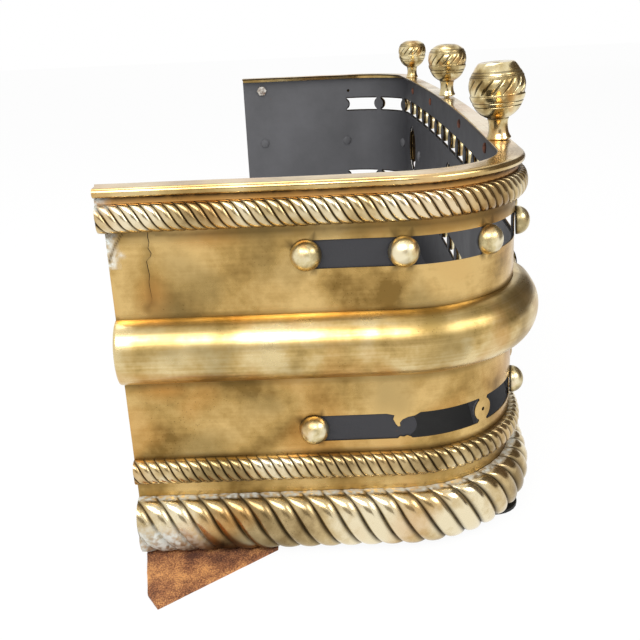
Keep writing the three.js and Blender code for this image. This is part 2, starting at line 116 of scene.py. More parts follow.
def add_node(tree, kind, inputs=None, **settings):
    made = tree.nodes.new("ShaderNode" + kind)
    for name, value in settings.items():
        setattr(made, name, value)
    feed(tree, made, inputs or {})
    return made


def cloudy(tree, places, scale, detail, roughness=0.5, distortion=0.0):
    """Soft noise with about scale patches to the metre."""
    return add_node(tree, "TexNoise", {
        "Vector": places, "Scale": scale, "Detail": detail, "Roughness": roughness,
        "Distortion": distortion}).outputs["Fac"]


def carried(tree, label):
    """What the mesh carries under a label at each point, and 0 where it carries nothing."""
    return add_node(tree, "Attribute", attribute_name=label).outputs["Fac"]


def spread(tree, value, start, end, low, high):
    """Low where the value is at start, high where it is at end, and held beyond them."""
    return add_node(tree, "MapRange", {
        "Value": value, "From Min": start, "From Max": end, "To Min": low, "To Max": high}).outputs[0]


def worked(tree, operation, *values, use_clamp=False):
    return add_node(tree, "Math", dict(enumerate(values)), operation=operation,
                    use_clamp=use_clamp).outputs[0]


def mixed(tree, share, first, second):
    return add_node(tree, "Mix", {"Factor": share, 2: first, 3: second}).outputs[0]


def tinted(tree, share, colour, hex_colour):
    """The colour, taken over to a hex colour by a share."""
    return add_node(tree, "Mix", {"Factor": share, 6: colour, 7: linear(hex_colour)},
                    data_type="RGBA").outputs[2]


def bumps(tree, height, strength, depth):
    return add_node(tree, "Bump", {
        "Height": height, "Strength": strength, "Distance": depth}).outputs["Normal"]


def colour_steps(tree, value, steps):
    """A colour for each share of value, from pairs of share and hex colour."""
    ramp = add_node(tree, "ValToRGB", {"Fac": value})
    marks = ramp.color_ramp.elements
    while len(marks) < len(steps):
        marks.new(0.5)
    for mark, (share, hex_colour) in zip(marks, steps):
        mark.position = share
        mark.color = linear(hex_colour)
    return ramp.outputs["Color"]


def new_material(name, metallic, roughness):
    material = bpy.data.materials.new(name)
    material.use_nodes = True
    tree = material.node_tree
    surface = tree.nodes["Principled BSDF"]
    feed(tree, surface, {"Metallic": metallic, "Roughness": roughness})
    return material, tree, surface


def aged_brass(name, tones, patch_mm, polish, streaks):
    """Cartridge brass, hand polished over years: gold where it is rubbed, else brown or olive.
    tones are its stained, middle and bright colours, and polish the least and most roughness."""
    material, tree, surface = new_material(name, 1.0, 0.3)
    places = add_node(tree, "TexCoord").outputs
    here = places["Object"]
    patches = cloudy(tree, here, 1000 / patch_mm, 1.5, distortion=0.3)
    mottle = cloudy(tree, here, 6500 / patch_mm, 5.0, 0.6)
    # Polishing cloths run lengthwise, so the marks are 40 times longer than they are wide.
    along = add_node(tree, "Mapping", {"Vector": places["UV"], "Scale": (9.0, 380.0, 1.0)})
    rubbed = cloudy(tree, along.outputs["Vector"], 1.0, 5.0)
    varied = mixed(tree, streaks, mixed(tree, 0.22, patches, mottle), rubbed)
    # Lighter and darker patches painted in as reflections, where the mesh carries them.
    blend = worked(tree, "ADD", varied, carried(tree, "painted_reflection"))
    stained, middle, bright = tones
    colour = colour_steps(tree, blend, [(0.38, stained), (0.49, middle), (0.60, bright)])
    # Where the zinc has gone the brass turns coppery, and old lacquer and smoke turn it olive.
    tint = cloudy(tree, here, 700 / patch_mm, 1.5, distortion=0.4)
    warm = worked(tree, "MAXIMUM", spread(tree, tint, 0.54, 0.70, 0.0, 0.45), carried(tree, "copper"))
    coppery = tinted(tree, warm, colour, "#CC8F46")
    olive = tinted(tree, spread(tree, tint, 0.47, 0.33, 0.0, 0.5), coppery, "#8D7B50")
    # Dirt and painted shade that the mesh carries take the colour towards brown-black, in patches.
    patchy = spread(tree, mottle, 0.3, 0.7, 0.78, 1.15)
    caked_and_shaded = worked(tree, "MULTIPLY", carried(tree, "dirt_and_shade"), patchy, use_clamp=True)
    dirty_and_shaded = tinted(tree, caked_and_shaded, olive, "#2A2014")
    # Pits and specks about a millimetre across, only where the patches are dull.
    specks = add_node(tree, "TexVoronoi", {"Vector": here, "Scale": 340.0}).outputs["Distance"]
    speck = spread(tree, specks, 0.08, 0.18, 0.55, 0.0)
    dull = spread(tree, patches, 0.38, 0.46, 1.0, 0.0)
    speckled = tinted(tree, worked(tree, "MULTIPLY", speck, dull), dirty_and_shaded, "#4A3518")
    # A pale crust of old polish, flaky and not metal.
    flakes = cloudy(tree, here, 240.0, 5.0)
    flaky = spread(tree, flakes, 0.38, 0.6, 0.35, 1.15)
    crust = worked(tree, "MULTIPLY", carried(tree, "residue"), flaky, use_clamp=True)
    gloss = spread(tree, blend, 0.36, 0.62, polish[1], polish[0])
    rough = worked(tree, "MULTIPLY_ADD", caked_and_shaded, 0.35, gloss)
    feed(tree, surface, {
        "Base Color": tinted(tree, crust, speckled, "#C9CCC6"),
        "Metallic": spread(tree, crust, 0.0, 1.0, 1.0, 0.15),
        "Roughness": worked(tree, "MULTIPLY_ADD", crust, 0.5, rough, use_clamp=True),
        "Normal": bumps(tree, mixed(tree, 0.6, rubbed, flakes), 0.12, 0.0005)})
    return material


def make_piece(name, points, faces, material, nodes=(), uv=None, marks=None, crease=35):
    """A mesh piece that rides on the fender, sharp where it bends by more than crease degrees."""
    mesh = bpy.data.meshes.new(name)
    mesh.from_pydata(np.asarray(points, float).tolist(), [], [tuple(map(int, f)) for f in faces])
    if uv is not None:
        corners = np.empty(len(mesh.loops), int)
        mesh.loops.foreach_get("vertex_index", corners)
        mesh.uv_layers.new(name="UVMap").data.foreach_set("uv", np.asarray(uv, float)[corners].ravel())
    for label, values in (marks or {}).items():
        mark = mesh.attributes.new(label, "FLOAT", "POINT")
        mark.data.foreach_set("value", np.asarray(values, float).ravel())
    tidy = bmesh.new()
    tidy.from_mesh(mesh)
    bmesh.ops.remove_doubles(tidy, verts=tidy.verts, dist=1e-7)
    bmesh.ops.recalc_face_normals(tidy, faces=tidy.faces)
    tidy.to_mesh(mesh)
    tidy.free()
    mesh.polygons.foreach_set("use_smooth", [True] * len(mesh.polygons))
    mesh.set_sharp_from_angle(angle=math.radians(crease))
    mesh.materials.append(material)
    piece = bpy.data.objects.new(name, mesh)
    bpy.context.scene.collection.objects.link(piece)
    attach(piece, "root")
    if nodes:
        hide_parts(*nodes)
    return piece


def rippled(run, height, size, depth, seed):
    """Soft dents of about size mm across, depth mm deep."""
    spots = np.column_stack([np.ravel(run) / size, np.ravel(height) / size])
    return depth * np.array([noise.noise((x, y, seed)) for x, y in spots]).reshape(np.shape(run))


def divided(loop, step):
    """The closed loop with points added so that none are further apart than step."""
    dense = []
    for (ax, ay), (bx, by) in zip(loop, loop[1:] + loop[:1]):
        cuts = max(1, math.ceil(math.hypot(bx - ax, by - ay) / step))
        dense += [(ax + (bx - ax) * i / cuts, ay + (by - ay) * i / cuts) for i in range(cuts)]
    return dense


def inside(loop, spots):
    """Which of the spots lie inside the closed loop."""
    x, y = spots[:, 0], spots[:, 1]
    crossed = np.zeros(len(spots), bool)
    for (ax, ay), (bx, by) in zip(loop, loop[1:] + loop[:1]):
        if ay == by:
            continue
        crossed ^= ((ay > y) != (by > y)) & (x < (bx - ax) * (y - ay) / (by - ay) + ax)
    return crossed


def flat_mesh(rim, holes, grid):
    """Triangles of a flat plate with holes, and the edges that bound it."""
    loops = [rim] + holes
    spots, edges = [], []
    for loop in loops:
        first = len(spots)
        spots += loop
        edges += [(first + i, first + (i + 1) % len(loop)) for i in range(len(loop))]
    spots += grid
    found = geometry.delaunay_2d_cdt([Vector(s) for s in spots], edges, [], 0, 1e-6)
    flat = np.array([tuple(v) for v in found[0]])
    faces = np.array([tuple(f) for f in found[2] if len(f) == 3])
    middles = flat[faces].mean(axis=1)
    keep = inside(rim, middles)
    for hole in holes:
        low, high = np.min(hole, axis=0), np.max(hole, axis=0)
        near = np.nonzero(np.all((middles >= low) & (middles <= high), axis=1))[0]
        keep[near[inside(hole, middles[near])]] = False
    faces = faces[keep]
    sides = np.vstack([faces[:, [0, 1]], faces[:, [1, 2]], faces[:, [2, 0]]])
    ordered = {tuple(side) for side in sides.tolist()}
    bounds = [side for side in ordered if side[::-1] not in ordered]
    return flat, faces.tolist(), bounds


def thick_plate(flat, faces, bounds):
    """Faces of a plate whose back is a copy of its front."""
    count = len(flat)
    back = [[c + count, b + count, a + count] for a, b, c in faces]
    walls = [[b, a, a + count, b + count] for a, b in bounds]
    return faces + back + walls


brass_thickness = 0.9
plate_thickness = 3
sheet_bottom = plate_thickness + gap
base_rope_z, lower_rope_z, upper_rope_z = 28.6, 77.2, 288.2
half_round_z, half_round_height = 182.7, 52.4
lower_row_z, upper_row_z = 110.05, 254.65
slot_height = 22.3
rail_underside = 304.3
sheet_top = rail_underside - gap
disc_radius = 9.6
neck_width = 9
slot_fillet = 1.2
band_roundel_hole = 42.3
stud_hole = 1.7


def side_discs(first):
    """Runs of one side's discs: three 73 mm apart on the return, then eight steps to the middle."""
    on_return = [first + 73 * i for i in range(3)]
    return on_return + [on_return[-1] + (half_run - on_return[-1]) * i / 8 for i in range(1, 9)]


disc_runs = side_discs(148) + [whole_run - run for run in side_discs(128)[-2::-1]]
broken_disc, bare_disc = 1, 2
roundel_runs = [run_at_x(x) for x in (-414, 0, 414)]


def slot_side(run, middle, height, toward):
    """Edge of a slot from its lower to its upper line, round one side of the disc at run."""
    half_neck, half_turn = neck_width / 2, math.acos(neck_width / 2 / disc_radius)
    side = [(half_neck + slot_fillet, -height / 2), (half_neck, -height / 2 + slot_fillet)]
    turns = np.linspace(-half_turn, half_turn, 13)
    side += [(disc_radius * math.cos(t), disc_radius * math.sin(t)) for t in turns]
    side += [(half_neck, height / 2 - slot_fillet), (half_neck + slot_fillet, height / 2)]
    return [(run + toward * x, middle + y) for x, y in side]


def slot(left, right, middle, height):
    """One opening between two neighbouring discs."""
    return slot_side(left, middle, height, 1)[::-1] + slot_side(right, middle, height, -1)


def torn_slot(left, broken, right, middle, height):
    """Two openings made into one where the disc between them broke off, with its torn ends left."""
    top, low = middle + height / 2, middle - height / 2
    tail = [(-15, 0), (-8.5, -1.6), (-9.5, -5), (-7.4, -9.4), (-5.6, -11.6), (-3.9, -11.3),
            (-4.3, -8.4), (-2.2, -5.6), (2.6, -3.4), (7.8, -2.6), (12.5, 0)]
    stub = [(6, 0), (4.2, 1.9), (1.1, 1.3), (-1.6, 2.5), (-4.8, 1.2), (-6, 0)]
    start = slot_side(left, middle, height, 1)[::-1]
    end = slot_side(right, middle, height, -1)
    lower = [(broken - x, low + y) for x, y in stub]
    upper = [(broken + x, top + y) for x, y in tail]
    return start + lower + end + upper[::-1]


def ring(run, middle, radius, count=48):
    turns = np.linspace(0, 2 * math.pi, count, endpoint=False)
    return [(run + radius * math.cos(t), middle + radius * math.sin(t)) for t in turns]


crack = [(32.6, 279), (31.3, 273.6), (32.0, 268.9), (30.7, 264.7), (32.7, 260.5), (31.9, 258.2),
         (28.6, 254.6), (29.0, 249.8), (29.7, 243.9), (28.7, 237.9), (29.1, 232), (29.7, 224.8),
         (28.8, 221.9), (25.5, 218)]
crack_hole = crack + [(x + 0.5 * min(1, (y - 216) / 30), y + 0.2) for x, y in reversed(crack[:-1])]

band_holes = [slot(a, b, upper_row_z, slot_height) for a, b in zip(disc_runs, disc_runs[1:])]
band_holes += [slot(a, b, lower_row_z, slot_height) for a, b in zip(disc_runs[2:], disc_runs[3:])]
band_holes += [torn_slot(*disc_runs[:3], lower_row_z, slot_height)]
band_holes += [ring(disc_runs[bare_disc], lower_row_z, stud_hole, 12)]
band_holes += [ring(run, half_round_z, band_roundel_hole) for run in roundel_runs]
band_holes += [crack_hole]


def stepped(start, end, step):
    return np.linspace(start, end, max(2, round((end - start) / step) + 1))


def grid_off(holes, low, high, step, margin):
    """Grid of points over the band that keeps clear of the holes."""
    runs = stepped(0, whole_run, step)[1:-1]
    heights = stepped(low, high, step)[1:-1]
    spots = np.array([(r, h) for r in runs for h in heights])
    keep = np.ones(len(spots), bool)
    for hole in holes:
        lowest, highest = np.min(hole, axis=0) - margin, np.max(hole, axis=0) + margin
        keep &= ~np.all((spots > lowest) & (spots < highest), axis=1)
    return [tuple(s) for s in spots[keep]]


def closeness(distance, reach):
    """1 at no distance, fading to 0 at reach."""
    return np.clip(1 - np.asarray(distance) / reach, 0, 1) ** 1.5


def sheet_rim(low, high, step):
    return divided([(0.0, low), (whole_run, low), (whole_run, high), (0.0, high)], step)


band_holes = [divided(hole, 5) for hole in band_holes]
# The mesh is finer round the crack and the bent corner.
fine_right, fine_low, fine_high = 44, 212, 279
corner_spots = [
    (x, y) for x in stepped(1.2, fine_right, 1.3) for y in stepped(fine_low, fine_high, 1.6)
    if not any(abs(x - cx) < 4 and abs(y - cy) < 5 for cx, cy in crack)]
band_grid = [(x, y) for x, y in grid_off(band_holes, sheet_bottom, sheet_top, 6, 2.5)
             if x > fine_right + 1 or not fine_low - 1 < y < fine_high + 1]
band_flat, band_faces, band_bounds = flat_mesh(
    sheet_rim(sheet_bottom, sheet_top, 6), band_holes, band_grid + corner_spots)
band_run, band_height = band_flat.T
band_dents = (rippled(band_run, band_height, 46, 0.42, 3.1)
              + rippled(band_run, band_height, 18, 0.10, 8.4))


def near_line(line, reach):
    """1 on a line drawn on the band, fading to 0 at reach."""
    best = np.full(len(band_run), 1e9)
    for (ax, ay), (bx, by) in zip(line, line[1:]):
        length = math.hypot(bx - ax, by - ay)
        share = ((band_run - ax) * (bx - ax) + (band_height - ay) * (by - ay)) / length ** 2
        share = np.clip(share, 0, 1)
        away = np.hypot(band_run - ax - share * (bx - ax), band_height - ay - share * (by - ay))
        best = np.minimum(best, away)
    return closeness(best, reach)


def near_spot(run, height, half_width, half_height):
    """1 at a spot on the band, fading to 0 at the edge of an oval round it."""
    return closeness(np.hypot((band_run - run) / half_width, (band_height - height) / half_height), 1)


# The upper corner has been bent in along a curved crease, and one lip of the crack stands up.
crease_line = [(15, 278), (11, 273.5), (7.7, 269), (5.3, 265.5), (3.7, 262), (0, 253.5)]
crease = near_line(crease_line, 2.3)
bent_corner = np.clip((268 + 0.9 * (band_run - 8) - band_height) / -12, 0, 1)
bent_corner = bent_corner * (band_run < 17) * (band_height > 250)
torn_lip = near_line(crack, 3) * (band_run < 30.3)
band_dents = np.clip(band_dents, -0.15, 0.35) - 1.2 * bent_corner + 0.2 * torn_lip
# Old dirt lies along the mouldings' joints and in the crack, and there are darker rings round the studs'
# feet.
edge_lines = [276.3, 299, half_round_z + half_round_height / 2, half_round_z - half_round_height / 2,
              lower_rope_z + 11, lower_rope_z - 11, base_rope_z + 25.2]
band_dirt_and_shade = 0.8 * sum(closeness(np.abs(band_height - line), 4) for line in edge_lines)
# Painted shade: a broad strip under the upper rope and a narrower one under the half-round.
band_dirt_and_shade += 0.55 * closeness(np.abs(band_height - 276), 13)
band_dirt_and_shade += 0.3 * closeness(np.abs(band_height - 155), 9)
band_dirt_and_shade = np.minimum(band_dirt_and_shade, 0.6)
for row, bare in ((lower_row_z, (broken_disc, bare_disc)), (upper_row_z, ())):
    for index, run in enumerate(disc_runs):
        if index not in bare:
            out = np.hypot(band_run - run, band_height - row)
            band_dirt_and_shade = np.maximum(band_dirt_and_shade, 0.85 * closeness(np.abs(out - 12.3), 1.6))
# Painted shade in the crease.
band_dirt_and_shade = np.maximum(band_dirt_and_shade, 0.95 * crease)
band_dirt_and_shade = np.maximum(band_dirt_and_shade, 0.35 * near_line(crack, 1.0))
band_residue = np.clip(1.15 - band_run / 9, 0, 1) * (band_height > 249) * (band_height < 277)
band_residue = np.maximum(band_residue, 0.8 * near_spot(9.5, 260, 6, 6 / 1.4)) * (1 - crease)
band_copper = np.maximum(near_spot(31, 224, 19, 19 / 0.7), 0.6 * near_spot(75, 271, 38.4, 12))
band_copper = np.maximum(band_copper, 0.7 * near_spot(30, 149, 36.4, 14))
# Lighter and darker patches painted in as reflections.
band_painted_reflection = sum(share * near_spot(*spot) for share, spot in (
    (0.20, (40, 128, 80, 40)), (-0.06, (105, 118, 60, 36)),
    (-0.05, (30, 245, 60, 50)), (0.06, (130, 232, 50, 40))))
# The grime of a side that was never polished.
unpolished = 1.3
band_points = np.vstack([
    lay(band_run, band_dents - depth, band_height) for depth in (0, brass_thickness)])
band_brass = aged_brass(
    "Rolled brass sheet, hand polished", ("#876A38", "#BA985A", "#DAB878"), 56, (0.20, 0.34), 0.07)
make_piece(
    "band_sheet", band_points, thick_plate(band_flat, band_faces, band_bounds), band_brass,
    ["brass_band"], uv=np.tile(band_flat / 1000, (2, 1)),
    marks={"dirt_and_shade": np.concatenate([np.clip(band_dirt_and_shade, 0, 1), np.full(len(band_flat), unpolished)]),
           "residue": np.tile(band_residue, 2), "copper": np.tile(band_copper, 2),
           "painted_reflection": np.tile(band_painted_reflection, 2)})

# ---- Iron liner ----
# Sheet iron behind the brass, slotted to match and cut out round behind each roundel, with its
# foot turned in. The mouldings' rivets come through it. Brushed with matt stove paint.

liner_thickness = 1.5
liner_face = -(brass_thickness + gap)
liner_back = liner_face - liner_thickness
liner_flange = 14
liner_bend = 2.5
liner_slot_height = slot_height + 4.4
liner_roundel_hole = 40.5
# Run, height and radius of a small drilled hole with nothing in it, in the right return.
spare_hole = (whole_run - 210, 281, 2.8)


def painted_iron(name, dark, pale, worn):
    """Matt stove paint brushed on sheet iron: even, slightly mottled, with rust at the worn spots."""
    material, tree, surface = new_material(name, 0.0, 0.55)
    places = add_node(tree, "TexCoord").outputs["Object"]
    cloud = cloudy(tree, places, 11.0, 6.0, 0.6)
    grit = cloudy(tree, places, 520.0, 3.0)
    chips = cloudy(tree, places, 60.0, 7.0, 0.7)
    tone = colour_steps(tree, cloud, [(0.3, dark), (0.7, pale)])
    # Where the mesh carries it the paint is taken darker: painted shade on the liner's inner face, and its
    # side behind the brass darker all over.
    blackened = tinted(tree, carried(tree, "dark_and_shade"), tone, "#2E2E31")
    feed(tree, surface, {
        "Specular IOR Level": 0.25,
        "Base Color": tinted(tree, spread(tree, chips, 0.66, 0.72, 0.0, worn), blackened, "#6B4128"),
        "Roughness": spread(tree, cloud, 0.3, 0.7, 0.62, 0.46),
        "Normal": bumps(tree, grit, 0.25, 0.0004)})
    return material


liner_holes = []
for row in (lower_row_z, upper_row_z):
    liner_holes += [slot(a, b, row, liner_slot_height)
                    for a, b in zip(disc_runs[1:-1], disc_runs[2:-1])]
liner_holes += [ring(run, half_round_z, liner_roundel_hole) for run in roundel_runs]
liner_holes += [ring(*spare_hole, 12)]
liner_holes = [divided(hole, 6) for hole in liner_holes]
# Below its bend the flat sheet is drawn on downward and then folded inward to make the foot.
flange_low = sheet_bottom - liner_flange
liner_flat, liner_faces, liner_bounds = flat_mesh(
    sheet_rim(flange_low, sheet_top, 8), liner_holes,
    grid_off(liner_holes, flange_low, sheet_top, 8, 2.5))
liner_run, liner_height = liner_flat.T


def folded(depth):
    """Offset and height of the liner's sheet at a depth from its outer face."""
    radius = liner_bend - depth
    arc_start = sheet_bottom + liner_bend
    arc = np.clip((arc_start - liner_height) / liner_bend, 0, math.pi / 2)
    beyond = np.maximum(arc_start - liner_height - liner_bend * math.pi / 2, 0)
    offset = liner_face - liner_bend + radius * np.cos(arc) - beyond
    height = np.where(liner_height > arc_start, liner_height, arc_start - radius * np.sin(arc))
    return offset, height


liner_dents = np.clip(rippled(liner_run, liner_height, 70, 0.5, 5.7), -0.4, 0.0)
liner_dents = liner_dents * (liner_height > 20)
liner_points = np.vstack([lay(liner_run, offset + liner_dents, height)
                          for offset, height in (folded(0), folded(liner_thickness))])
stove_paint = painted_iron("Sheet iron, matt stove paint", "#535355", "#606063", 0.3)
# The side behind the brass is darker all over; on the inner face, painted shade lies under the rail and
# along the front.
from_end = np.minimum(liner_run, whole_run - liner_run)
inner_painted_shade = np.maximum(0.75 * closeness(np.abs(liner_height - 304), 14),
                        0.85 * np.clip((from_end - straight_run - 20) / 120, 0, 1))
liner_dark_and_shade = np.concatenate([np.full(len(liner_flat), 0.95), inner_painted_shade])
make_piece("liner_sheet", liner_points, thick_plate(liner_flat, liner_faces, liner_bounds),
           stove_paint, ["iron_liner"], uv=np.tile(liner_flat / 1000, (2, 1)),
           marks={"dark_and_shade": liner_dark_and_shade})

# ---- Rivets, screws and nuts inside ----
# Round rivet heads hold the half-round and the foot, and are painted over with the liner.
# The screws that hold the top rail are bare iron gone rusty, and a dull steel nut sits at
# each back end.


def turned(profile, segments, placed=None, shape=None):
    """Points and faces of a solid turned about Z from (radius, height) pairs, in mm."""
    rows = []
    turns = np.linspace(0, 2 * math.pi, segments, endpoint=False)
    for radius, height in profile:
        radii = np.full(segments, float(radius))
        if shape is not None:
            radii = radii + shape(turns, height)
        level = np.full(segments, float(height))
        rows.append(np.stack([radii * np.cos(turns), radii * np.sin(turns), level], -1))
    points = np.vstack(rows) / 1000
    faces = []
    last = (len(profile) - 1) * segments
    for low in range(0, last, segments):
        high = low + segments
        for j in range(segments):
            k = (j + 1) % segments
            faces.append((low + j, low + k, high + k, high + j))
    faces += [tuple(range(segments))[::-1], tuple(range(last, last + segments))]
    if placed is not None:
        points = np.array([placed @ Vector(p) for p in points])
    return points, faces


def joined(solids):
    """Points and faces of several solids as one."""
    points, faces, count = [], [], 0
    for solid_points, solid_faces in solids:
        points.append(solid_points)
        faces += [tuple(i + count for i in face) for face in solid_faces]
        count += len(solid_points)
    return np.vstack(points), faces


def dome(radius, rise, brim=0.0, steps=6):
    """Profile of a round head with a straight brim under it."""
    curve = np.linspace(0, math.pi / 2, steps + 1)
    return [(radius, -0.3), (radius, brim)] + [
        (max(radius * math.cos(t), 0.02), brim + (rise - brim) * math.sin(t)) for t in curve[1:]]


def facing_in(run, height):
    return frame_at(run, liner_back, height) @ Matrix.Rotation(math.pi, 4, "Y")


moulding_rivet, foot_rivet, screw_head = dome(8.5, 3.8, 0.8), dome(3.4, 2.4), dome(5.6, 2.8, 0.5)
rivet_runs = [37, 205] + [run_at_x(x) for x in (-504, -324, -90)]
foot_rivet_runs = [24, whole_run - 24, 85, whole_run - 85]
foot_rivet_runs += [run_at_x(x) for x in (-380, -190, 0, 190, 380)]
foot_top = sheet_bottom + liner_thickness
rivet_heads = [turned(moulding_rivet, 24, facing_in(r, half_round_z))
               for run in rivet_runs for r in (run, whole_run - run)]
rivet_heads += [turned(foot_rivet, 14, Matrix.Translation(Vector(lay(run, liner_back - 7, foot_top))))
                for run in foot_rivet_runs]
make_piece("rivet_heads", *joined(rivet_heads), stove_paint)


def rusted_iron(name, deep, middle, bright, grit_mm):
    """Bare wrought iron left to rust: granular orange over dark brown."""
    material, tree, surface = new_material(name, 0.0, 0.9)
    places = add_node(tree, "TexCoord").outputs["Object"]
    wide = cloudy(tree, places, 42.0, 5.0, 0.65)
    grains = cloudy(tree, places, 1000 / grit_mm, 4.0, 0.7)
    steps = [(0.41, deep), (0.5, middle), (0.59, bright)]
    feed(tree, surface, {
        "Base Color": colour_steps(tree, mixed(tree, 0.5, wide, grains), steps),
        "Normal": bumps(tree, grains, 0.8, 0.0012)})
    return material


screw_rust = rusted_iron("Iron screws, rusted", "#331C14", "#6B3D2A", "#8C5236", 1.5)
screw_heads = [turned(screw_head, 16, facing_in(run_at_x(x), upper_rope_z))
               for x in (-307, -99, 194, 400)]
make_piece("rail_screws", *joined(screw_heads), screw_rust)

nut = [(9.6, -0.3), (9.6, 4.6), (8.4, 5.6)]
screw_end = [(3.4, 0), (3.4, 8), (2.8, 8.6)]
nuts = [turned(profile, sides, facing_in(run, upper_rope_z - 1))
        for run in (37, whole_run - 37) for profile, sides in ((nut, 6), (screw_end, 12))]
nut_steel = rusted_iron("Steel nuts, dull with rust", "#6E4E3A", "#A39A90", "#D2CEC6", 6)
make_piece("rail_end_nuts", *joined(nuts), nut_steel, crease=25)

# ---- Rope mouldings ----
# Three half-round mouldings stamped from thin brass as twisted rope and soldered on.
# Their crowns are rubbed bright; the grooves between the strands keep old dirt and carry painted shade,
# and the strands carry painted shade along their lower edge.

rope_brass = aged_brass(
    "Stamped brass rope, dirty in its grooves", ("#967F56", "#CDB585", "#EDDFBC"), 60, (0.15, 0.26), 0.0)


def set_back(run):
    """How far the rail and the rope under it stand back from their line on the band, past the returns."""
    walked = np.minimum(run, whole_run - run)
    return 4 * np.clip((walked - straight_run + 60) / 110, 0, 1)


def tube_faces(columns, rows):
    """Faces round a closed skin whose points stand in columns of rows, with its ends open."""
    first, row = np.meshgrid(np.arange(columns - 1) * rows, np.arange(rows), indexing="ij")
    ahead = (row + 1) % rows
    corners = [first + row, first + rows + row, first + rows + ahead, first + ahead]
    return np.stack(corners, -1).reshape(-1, 4).tolist()


def tube_ends(columns, rows):
    last = (columns - 1) * rows
    return [list(range(rows)), list(range(last, last + rows))[::-1]]


def unrolled(along, across):
    """Texture places, in metres, of points by their run and their way round the section in mm."""
    return np.stack(np.broadcast_arrays(along, across), -1).reshape(-1, 2) / 1000


def rope_moulding(name, node, centre, height, reach, pitch, groove, lean, samples, steps, crest,
                  overhang=0.0):
    """Strands that slant down towards the front; the mesh's columns follow them. crest is the
    share of its reach kept at its top edge, and overhang how far it runs past the left end."""
    start, end = -overhang, whole_run
    strands = round((end - start) / pitch)
    pitch = (end - start) / strands
    turns = np.append(np.linspace(-math.pi / 2, math.pi / 2, steps + 1), math.pi / 2)
    shift = -lean * pitch * turns / math.pi
    spare = math.ceil(lean)
    columns = start + np.arange(-spare * samples, (strands + spare) * samples + 1) * pitch / samples
    runs = np.clip(columns[:, None] + shift[None, :], start, end)
    phase = ((runs - start - shift[None, :]) / pitch + 0.08) % 1.0
    across = np.abs(2 * phase - 1)
    depth = groove * (1 - np.sqrt(1 - 0.985 * across ** 2.1))
    wear = np.array([noise.noise((c / 40, centre, 0.0)) for c in columns])
    depth = depth * (1 + 0.15 * wear[:, None])
    scale = 1 - depth / reach
    swell = np.clip(np.cos(turns), 0, 1) ** 0.85
    swell = np.where(turns > 0, crest + (1 - crest) * swell, swell)
    swell[[0, -1]] = 0
    drawn_in = 0.5 * set_back(runs) if node == "rope_upper" else 0
    offset = gap + np.maximum(reach * swell[None, :] * scale - drawn_in, 0)
    flattened = 1 - depth / reach * np.where(turns > 0, 0.12, 0.5)
    heights = centre + height / 2 * np.sin(turns)[None, :] * flattened
    points = lay(runs, offset, heights).reshape(-1, 3)
    size = len(columns), len(turns)
    faces = tube_faces(*size) + tube_ends(*size)
    # Dirt and painted shade in the grooves between the strands.
    dirt_and_shade = 0.95 * np.clip((across - 0.58) / 0.40, 0, 1) ** 1.5
    # Painted shade along the strands' lower edge.
    dirt_and_shade = np.maximum(dirt_and_shade, np.clip((-turns - 1.0) * 1.8, 0, 0.85))
    # The lower and upper ropes are darker along their top edge.
    if node != "rope_base":
        dirt_and_shade = np.maximum(dirt_and_shade, np.clip((turns - 1.3) * 5, 0, 0.5))
    residue = np.zeros_like(depth)
    if node == "rope_base":
        patch = np.clip(1.4 - runs / 44, 0, 1) * np.clip((38 - heights) / 12, 0, 1)
        top_line = 0.6 * np.clip((heights - (centre + height / 2 - 0.9)) / 0.4, 0, 1)
        top_line = top_line * np.clip((500 - runs) / 60, 0, 1)
        residue = np.maximum(patch * 1.2, top_line * 1.3)
        # Painted shade on the base rope's lower strands beside the rusty foot plate.
        by_the_rust = closeness(np.abs(runs - 70), 75) * np.clip((32 - heights) / 14, 0, 1)
        dirt_and_shade = np.maximum(dirt_and_shade, 0.9 * by_the_rust) * (1 - 0.7 * patch) * (1 - 0.8 * top_line)
    if node == "rope_upper":
        residue = closeness(runs + 3, 24) * closeness(np.abs(heights - 298), 7)
    make_piece(name, points, faces, rope_brass, [node], uv=unrolled(runs, turns * height / 2),
               marks={"dirt_and_shade": np.clip(dirt_and_shade, 0, 1), "residue": np.clip(residue, 0, 1)}, crease=50)


rope_moulding("base_rope_strands", "rope_base", base_rope_z, 50.4, 19, pitch=17.1, groove=5.8,
              lean=2.2, samples=16, steps=22, crest=0.12)
rope_moulding("lower_rope_strands", "rope_lower", lower_rope_z, 22, 9.6, pitch=8.35, groove=2.7,
              lean=1.9, samples=12, steps=14, crest=0.2)
rope_moulding("upper_rope_strands", "rope_upper", upper_rope_z + 0.3, 22.4, 11.2, pitch=8.2,
              groove=2.8, lean=2.3, samples=12, steps=14, crest=0.48, overhang=rail_overhang)

# ---- Half-round moulding ----
# Four lengths of brass half-round, drawn hollow, bent to the band and riveted from inside.
# Between the roundels they are cut to fit round them. Rubbed bright on top, streaked below, with painted
# shade along the underside.

half_round_brass = aged_brass(
    "Drawn brass half-round, polished lengthwise", ("#9A8048", "#C9AB6E", "#E2CC98"), 36,
    (0.27, 0.38), 0.2)
roundel_radius = 43
cope_radius = roundel_radius + 0.4


